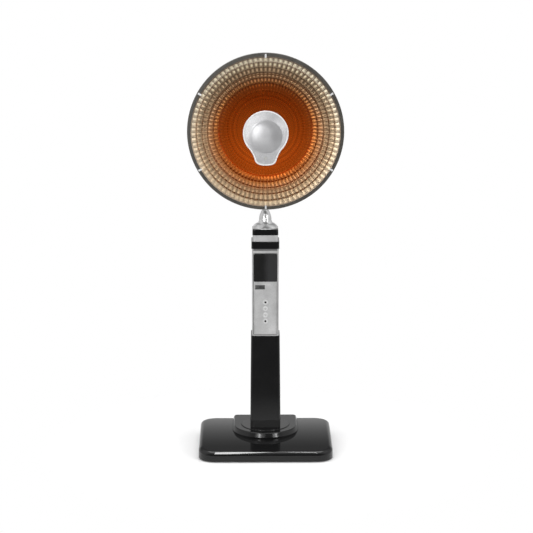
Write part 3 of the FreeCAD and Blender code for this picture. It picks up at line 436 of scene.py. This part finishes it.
SURFACES = {
    "black_gloss": dict(dark=INK_DARK, light=INK_LIGHT, smooth=0.09, rough=0.15, grain=900.0, relief=0.015,
                        coat=0.1, specular=0.3),
    "plate_gloss": dict(dark=INK_DARK, light=INK_LIGHT, smooth=0.13, rough=0.18, grain=900.0, relief=0.015,
                        specular=0.36),
    "black_plastic": dict(dark=grey(0.006), light=grey(0.015), smooth=0.4, rough=0.6, grain=1200.0,
                          relief=0.25, specular=0.3),
    "silver_paint": dict(dark=grey(0.38), light=grey(0.73), smooth=0.34, rough=0.48, grain=800.0, relief=0.10,
                         metallic=0.35, coat=0.15),
    "key_plastic": dict(dark=grey(0.66), light=grey(0.84), smooth=0.25, rough=0.38, grain=1800.0, relief=0.06,
                        metallic=0.1),
    "receiver_grey": dict(dark=grey(0.03), light=grey(0.10), smooth=0.2, rough=0.35, grain=500.0,
                          relief=0.05),
    "chrome": dict(dark=grey(0.70), light=grey(0.80), smooth=0.08, rough=0.16, grain=700.0, relief=0.015,
                   metallic=1.0),
    "bell_chrome": dict(dark=grey(0.62), light=grey(0.74), smooth=0.28, rough=0.38, grain=700.0, relief=0.02,
                        metallic=0.75),
    "clip_metal": dict(dark=grey(0.60), light=grey(0.78), smooth=0.3, rough=0.45, grain=900.0, relief=0.05,
                       metallic=0.3),
    "boss_silver": dict(dark=(0.50, 0.50, 0.51), light=(0.70, 0.70, 0.71), smooth=0.34, rough=0.46,
                        grain=1100.0, relief=0.08, metallic=0.5),
    # The bead's brighter copy of the shield's silver is a painted highlight
    "bead_highlight_silver": dict(dark=grey(0.72), light=grey(0.88), smooth=0.32, rough=0.44, grain=1200.0, relief=0.06,
                        metallic=0.15),
    "badge_silver": dict(dark=(0.34, 0.34, 0.35), light=(0.86, 0.86, 0.87), smooth=0.40, rough=0.52,
                         grain=620.0, relief=0.12, metallic=0.25),
    "rim_metal": dict(dark=(0.040, 0.036, 0.030), light=(0.075, 0.068, 0.057), smooth=0.28, rough=0.42,
                      grain=1400.0, relief=0.10),
    "black_metal": dict(dark=(0.014, 0.014, 0.013), light=(0.030, 0.029, 0.027), smooth=0.22, rough=0.36,
                        grain=1400.0, relief=0.12, specular=0.4),
    "steel": dict(dark=(0.42, 0.42, 0.41), light=(0.6, 0.6, 0.58), smooth=0.25, rough=0.45, grain=1500.0,
                  metallic=1.0, stretch=(1, 1, 0.1)),
    "circuit_board": dict(dark=(0.01, 0.07, 0.025), light=(0.02, 0.12, 0.05), smooth=0.3, rough=0.5,
                          grain=400.0),
    "white_ceramic": dict(dark=(0.70, 0.68, 0.62), light=(0.82, 0.80, 0.75), smooth=0.2, rough=0.4,
                          grain=500.0),
    "rubber": dict(dark=grey(0.010), light=grey(0.025), smooth=0.65, rough=0.85, grain=1500.0, relief=0.4),
    "cast_iron": dict(dark=grey(0.03), light=(0.09, 0.085, 0.08), smooth=0.6, rough=0.85, grain=600.0,
                      relief=0.5),
    "bearing_plastic": dict(dark=(0.6, 0.6, 0.56), light=(0.75, 0.75, 0.7), smooth=0.35, rough=0.5,
                            grain=900.0),
}
FINISHES = {name: surface(name, **look) for name, look in SURFACES.items()}
FINISHES["base_gloss"] = base_gloss()
FINISHES["guard_plating"] = guard_plating()
FINISHES["copper_mirror"] = copper_mirror()
FINISHES["smoked_window"] = smoked_window()
FINISHES["lamp_glass"] = lamp_glass()

# Nodes whose finish differs from the others in their slot
OWN_FINISH = {"neck_bell": "bell_chrome", "neck_tube": "bell_chrome", "rim_clips": "clip_metal",
              "button_rings": "clip_metal", "rim_ring": "rim_metal", "column_foot": "black_plastic",
              "base_cover": "base_gloss", "pedestal_plate": "plate_gloss"}


def dress(solid, finish):
    solid.data.materials.clear()
    solid.data.materials.append(FINISHES[finish])


for row in frame["record"]["subparts"]:
    dress(nodes[row["node"]], OWN_FINISH.get(row["node"], row["material_slot"]))


# Pieces that stand for plainer solids, and small pieces of their own

def piece(name, mesh, slot, body, *stands_for, finish=None):
    made = bpy.data.objects.new(name, mesh)
    bpy.context.scene.collection.objects.link(made)
    mesh.materials.append(FINISHES[finish or slot])
    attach(made, body)
    if stands_for:
        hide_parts(*stands_for)
    return made


def rings_mesh(name, rings, capped=False):
    """A skin over closed rings of points, each ring with as many points as the next."""
    form = bmesh.new()
    rows = [[form.verts.new(point) for point in ring] for ring in rings]
    for lower, upper in zip(rows, rows[1:]):
        for index, corner in enumerate(lower):
            following = (index + 1) % len(lower)
            form.faces.new((corner, lower[following], upper[following], upper[index]))
    if capped:
        form.faces.new(rows[0][::-1])
        form.faces.new(rows[-1])
    bmesh.ops.recalc_face_normals(form, faces=form.faces)
    mesh = bpy.data.meshes.new(name)
    form.to_mesh(mesh)
    form.free()
    mesh.polygons.foreach_set("use_smooth", [True] * len(mesh.polygons))
    mesh.set_sharp_from_angle(angle=math.radians(SHARP_ANGLE))
    return mesh


def circle(radius, y, z, count):
    turns = [2 * math.pi * index / count for index in range(count)]
    return [(radius * math.cos(turn), y, z + radius * math.sin(turn)) for turn in turns]


def rounded_ring(sides, ends, corner, inset, y):
    """An upright rectangle with round corners, drawn in by an inset."""
    ring = []
    for start, side_x, side_z in ((0, 1, 1), (90, -1, 1), (180, -1, -1), (270, 1, -1)):
        x = sides[1] - corner if side_x > 0 else sides[0] + corner
        z = ends[1] - corner if side_z > 0 else ends[0] + corner
        for step in range(CORNER_STEPS + 1):
            turn = math.radians(start + step * 90 / CORNER_STEPS)
            ring.append((x + (corner - inset) * math.cos(turn), y, z + (corner - inset) * math.sin(turn)))
    return ring


def bowl_level(radius):
    share = (BOWL_MOUTH ** 2 - radius ** 2) / (BOWL_MOUTH ** 2 - BOWL_FLAT ** 2)
    return bowl_low.y + BOWL_DEPTH * share


def bowl_profile():
    """Radius, depth and share of the flute's depth, from the flange to the hole in the middle."""
    rows = [(bowl_high.x, bowl_low.y, 0.0), (BOWL_MOUTH + BOWL_LAND, bowl_low.y, 0.0)]
    for step in range(STEPS):
        outer = BOWL_MOUTH - step * STEP_PITCH
        inner = outer - STEP_PITCH
        start, end = bowl_level(outer), bowl_level(outer) + STEP_DROP
        for share in TREAD_SHARES:
            flute = math.sin(math.pi * share) ** FLUTE_FILL
            rows.append((outer + (inner + STEP_RUN - outer) * share, start + (end - start) * share, flute))
        for run, drop in RISER_ROUND:
            rows.append((inner + STEP_RUN * run, end + (bowl_level(inner) - end) * drop, 0.0))
    last = BOWL_MOUTH - STEPS * STEP_PITCH
    for row in range(BOWL_ROWS + 1):
        share = row / BOWL_ROWS
        radius = last + (BOWL_FLAT - last) * share
        flute = FLUTE_REST * math.sin(math.pi * min(1.0, share / FLUTE_END)) ** 2
        rows.append((radius, bowl_level(radius), flute))
    rows.append((BOWL_HOLE, bowl_level(BOWL_FLAT), 0.0))
    return rows


def bowl():
    """The stepped bowl of thin sheet, with flutes across its steps."""
    rings = []
    for radius, y, flute in bowl_profile():
        ring = []
        for x, _, z in circle(radius, y, DISH_Z, FLUTES * FLUTE_POINTS):
            turn = math.atan2(z - DISH_Z, x)
            scoop = 0.5 + 0.5 * math.cos(FLUTES * turn)
            ring.append((x, y + FLUTE_DEPTH * flute * scoop, z))
        rings.append(ring)
    made = piece("mirror_bowl", rings_mesh("mirror_bowl", rings), "copper_mirror", "head", "reflector")
    skin = made.modifiers.new("thickness", "SOLIDIFY")
    skin.thickness = BOWL_SHEET
    skin.offset = -1.0


def arc(start, middle, end, count):
    """Points along the arc through three points of a plane, without the last."""
    (x1, y1), (x2, y2), (x3, y3) = start, middle, end
    d = 2 * (x1 * (y2 - y3) + x2 * (y3 - y1) + x3 * (y1 - y2))
    s1, s2, s3 = x1 * x1 + y1 * y1, x2 * x2 + y2 * y2, x3 * x3 + y3 * y3
    cx = (s1 * (y2 - y3) + s2 * (y3 - y1) + s3 * (y1 - y2)) / d
    cy = (s1 * (x3 - x2) + s2 * (x1 - x3) + s3 * (x2 - x1)) / d
    radius = math.hypot(x1 - cx, y1 - cy)
    first = math.atan2(y1 - cy, x1 - cx)
    past = (math.atan2(y2 - cy, x2 - cx) - first) % (2 * math.pi)
    sweep = (math.atan2(y3 - cy, x3 - cx) - first) % (2 * math.pi)
    if past > sweep:
        sweep -= 2 * math.pi
    turns = [first + sweep * index / count for index in range(count)]
    return [(cx + radius * math.cos(turn), cy + radius * math.sin(turn)) for turn in turns]


def badge_outline():
    """The shield's edge, clockwise from its left cheek as seen from the front."""
    cheek = BADGE_R * math.sqrt(0.5)
    right = [(cheek, -cheek)] + SHIELD_SIDE
    left = [(-x, z) for x, z in right]
    points = arc(left[0], (0, BADGE_R), right[0], ROUND_POINTS)
    points += arc(right[0], right[1], right[2], SIDE_POINTS)
    points += arc(right[2], right[3], right[4], SIDE_POINTS)
    points += arc(right[4], (0, SHIELD_TIP), left[4], TIP_POINTS)
    points += arc(left[4], left[3], left[2], SIDE_POINTS)
    points += arc(left[2], left[1], left[0], SIDE_POINTS)
    return points


def pulled_in(points, inset):
    moved = []
    for before, here, after in zip(points[-1:] + points[:-1], points, points[1:] + points[:1]):
        along = Vector((after[0] - before[0], after[1] - before[1])).normalized()
        moved.append((here[0] + along.y * inset, here[1] - along.x * inset))
    return moved


def badge():
    """The shield's plate, with a raised bead round its edge in a brighter copy of its silver, a painted
    highlight.
    """
    outline = badge_outline()
    front, back = badge_low.y, badge_high.y
    middle = badge_high.z - BADGE_R

    def ring(inset, y):
        return [(x, y, middle + z) for x, z in pulled_in(outline, inset)]

    plate = [ring(PLATE_ROWS[0][0], back)] + [ring(inset, front + depth) for inset, depth in PLATE_ROWS]
    piece("shield", rings_mesh("shield", plate, capped=True), "badge_silver", "head", "badge_plate")
    bead = [ring(inset, front + depth) for inset, depth in BEAD_ROWS]
    mesh = rings_mesh("shield_bead", bead + bead[:1])
    # The bead's brighter silver is a painted highlight
    piece("shield_bead", mesh, "badge_silver", "head", finish="bead_highlight_silver")


def dome():
    """The round dome on the shield, with a small lip at its foot."""
    middle = (dome_low.z + dome_high.z) / 2
    radius = (dome_high.x - dome_low.x) / 2
    lip = badge_low.y - LIP_PROUD
    rows = [(radius, badge_low.y + DOME_SEAT), (radius, lip + LIP_BEND), (radius - LIP_ROUND, lip)]
    for row in range(1, DOME_ROWS):
        share = row / DOME_ROWS
        rise = (1 - (1 - share) ** DOME_ROUND) * min(1.0, share * DOME_EASE)
        rows.append(((radius - LIP_WIDTH) * (1 - share), lip + (dome_low.y - lip) * rise))
    mesh = rings_mesh("boss", [circle(r, y, middle, DOME_POINTS) for r, y in rows], capped=True)
    return piece("boss", mesh, "badge_silver", "head", "badge_dome", finish="boss_silver")


def keys():
    """Push keys with a rounded edge, a shallow finger dish and an inlay, dark in the first and last."""
    for key, inlay in (("power", "smoked_window"), ("heat", "silver_paint"), ("swing", "silver_paint"),
                       ("timer", "smoked_window")):
        button, body = "button_" + key, key + "_key"
        low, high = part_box(button)
        middle = (low.z + high.z) / 2
        rows = [(KEY_STEM, high.y)] + [(radius, low.y + depth) for radius, depth in KEY_ROWS]
        mesh = rings_mesh("key_" + key, [circle(r, y, middle, KEY_POINTS) for r, y in rows], capped=True)
        piece("key_" + key, mesh, "key_plastic", body, button)
        rings = [circle(radius, low.y + depth, middle, INLAY_POINTS) for radius, depth in INLAY_ROWS]
        piece("lens_" + key, rings_mesh("lens_" + key, rings, capped=True), inlay, body)


def receiver():
    """A dark strip at the upper left of the panel, where the remote control is received."""
    low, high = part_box("control_panel")
    sides = (low.x + RECEIVER_LEFT, low.x + RECEIVER_RIGHT)
    ends = (high.z - RECEIVER_BOTTOM, high.z - RECEIVER_TOP)
    front, back = low.y - RECEIVER_PROUD, low.y + RECEIVER_PROUD
    edge = RECEIVER_EDGE
    rows = [(0.0, back), (0.0, front + edge), (edge * 0.3, front + edge * 0.3), (edge, front)]
    rings = [rounded_ring(sides, ends, RECEIVER_CORNER, inset, y) for inset, y in rows]
    mesh = rings_mesh("receiver_strip", rings, capped=True)
    piece("receiver_strip", mesh, "smoked_window", "column", finish="receiver_grey")


def seal():
    """A thin dark seal on the housing, round the window and the panel."""
    panel_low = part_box("control_panel")[0]
    window_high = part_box("display_window")[1]
    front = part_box("control_housing")[0].y
    half = window_high.x + SEAL_SIDE
    ends = (panel_low.z - SEAL_END, window_high.z + SEAL_END)
    sides = (-half, half)
    rings = [rounded_ring(sides, ends, SEAL_CORNER, inset, front + level) for inset, level in SEAL_ROWS]
    piece("front_seal", rings_mesh("front_seal", rings + rings[:1]), "rubber", "column")


bowl()
badge()
boss = dome()
keys()
receiver()
seal()


# Softer edges on the moulded and turned solids

def soften(names, width):
    for name in names:
        bevel = nodes[name].modifiers.new("soft_edge", "BEVEL")
        bevel.width = width
        bevel.segments = 2
        bevel.limit_method = "ANGLE"
        bevel.angle_limit = math.radians(SOFT_ANGLE)
        bevel.harden_normals = True


soften(("collar_ring", "silver_band", "trim_ring", "column_foot", "rim_ring"), SOFT_WIDE)
soften(("control_housing", "control_panel", "display_window", "rim_clips", "tilt_fork", "tilt_lug"),
       SOFT_NARROW)


# Stage, lights and camera

def floor():
    """A pale round of floor that fades into the white backdrop."""
    mesh = bpy.data.meshes.new("floor")
    corners = [(x * FLOOR_HALF, y * FLOOR_HALF, 0) for x, y in ((-1, -1), (1, -1), (1, 1), (-1, 1))]
    mesh.from_pydata(corners, [], [(0, 1, 2, 3)])
    made = bpy.data.objects.new("floor", mesh)
    bpy.context.scene.collection.objects.link(made)
    material, tree, shader = blank("floor")
    where = place(tree)
    away = node(tree, "VectorMath", {0: where}, operation="LENGTH").outputs["Value"]
    feed(tree, shader, {
        "Base Color": ramp(tree, noise(tree, where, 3.0), [(0.3, grey(0.90)), (0.7, grey(0.92))]),
        "Roughness": 0.9,
        "Specular IOR Level": 0.1,
        "Alpha": spread(tree, away, 1.0, 0.0, *FLOOR_FADE),
    })
    mesh.materials.append(material)


def world():
    """White behind the object, and for reflections a room that is dark in front and bright at the sides."""
    made = bpy.data.worlds.new("studio")
    made.use_nodes = True
    tree = made.node_tree
    backdrop = tree.nodes["Background"]
    feed(tree, backdrop, {"Color": WHITE, "Strength": 1.0})
    parts = node(tree, "SeparateXYZ", {"Vector": node(tree, "TexCoord").outputs["Generated"]})
    back, up = parts.outputs["Y"], parts.outputs["Z"]
    aside = spread(tree, back, 0.0, 0.75, -0.8, -0.35)
    wall = spread(tree, up, 0.60, 0.10, 0.22, 0.48)
    aside = blend(tree, spread(tree, back, 0.0, 1.0, 0.1, 0.7), aside, wall)
    sides = maths(tree, "MULTIPLY", aside, spread(tree, up, 0.25, 1.0, -0.35, 0.0))
    above = spread(tree, up, 0.0, 0.35, 0.3, 0.9)
    above = maths(tree, "MULTIPLY", above, spread(tree, back, 1.0, 0.1, 0.0, 0.5))
    below = spread(tree, up, 0.42, 0.08, -0.45, -0.1)
    level = maths(tree, "ADD", maths(tree, "ADD", sides, above), below)
    room = node(tree, "Background", {"Color": WHITE, "Strength": level})
    eye = node(tree, "LightPath").outputs["Is Camera Ray"]
    views = {1: room.outputs["Background"], 2: backdrop.outputs["Background"]}
    mixed = node(tree, "MixShader", {"Fac": eye, **views})
    feed(tree, tree.nodes["World Output"], {"Surface": mixed.outputs["Shader"]})
    bpy.context.scene.world = made


def softbox(name, spot, aim, width, height, power, only=(), never=()):
    """A rectangular lamp that lights everything, or some pieces only, or all but some pieces."""
    lamp = bpy.data.lights.new(name, "AREA")
    lamp.shape = "RECTANGLE"
    lamp.size = width
    lamp.size_y = height
    lamp.energy = power
    made = bpy.data.objects.new(name, lamp)
    made.location = spot
    made.rotation_euler = (Vector(aim) - Vector(spot)).to_track_quat("-Z", "Y").to_euler()
    bpy.context.scene.collection.objects.link(made)
    if only or never:
        lit = bpy.data.collections.new(name + "_lights")
        for index, target in enumerate(only or never):
            lit.objects.link(target)
            lit.collection_objects[index].light_linking.link_state = "INCLUDE" if only else "EXCLUDE"
        made.light_linking.receiver_collection = lit


def camera():
    turn = math.radians(CAMERA_AZIMUTH)
    lens = bpy.data.cameras.new("camera")
    lens.lens = CAMERA_LENS
    made = bpy.data.objects.new("camera", lens)
    right = Vector((math.cos(turn), -math.sin(turn), 0))
    spot = Vector((-math.sin(turn), -math.cos(turn), 0)) * CAMERA_DISTANCE + right * CAMERA_ASIDE
    made.location = spot + Vector((0, 0, CAMERA_HEIGHT))
    made.rotation_euler = (math.radians(90 - CAMERA_PITCH), 0, -turn)
    bpy.context.scene.collection.objects.link(made)
    bpy.context.scene.camera = made


floor()
world()

# Lights: name, place, point aimed at, width, height and watts, and the pieces lit alone or left out
base, bell = nodes["base_cover"], nodes["neck_bell"]
softbox("overhead", (0, 0.1, 3.2), (0, 0, 0.4), 2.6, 2.0, 46, never=(boss, bell))
softbox("left_front", (-1.45, -4.2, 1.15), (0, 0, 0.6), 2.6, 2.0, 46, never=(base,))
softbox("right_front", (2.6, -3.6, 1.4), (0, 0, 0.6), 1.2, 2.0, 36, never=(boss, base))
softbox("left_strip", (-1.6, -4.0, 1.6), (0, 0, 0.4), 0.45, 1.6, 34, never=(base,))
softbox("right_strip", (2.7, -3.2, 1.5), (0, 0, 0.4), 0.45, 1.6, 22, never=(boss, base))
softbox("front_strip", (-0.143, -1.225, 2.73), (-0.05, 0, 0.1), 0.221, 3.2, 52, only=(base,))
softbox("corner_strip", (0.275, -1.225, 2.73), (0.12, 0, 0.1), 0.03, 3.2, 10, only=(base,))
camera()
bpy.context.scene.view_settings.view_transform = "Standard"
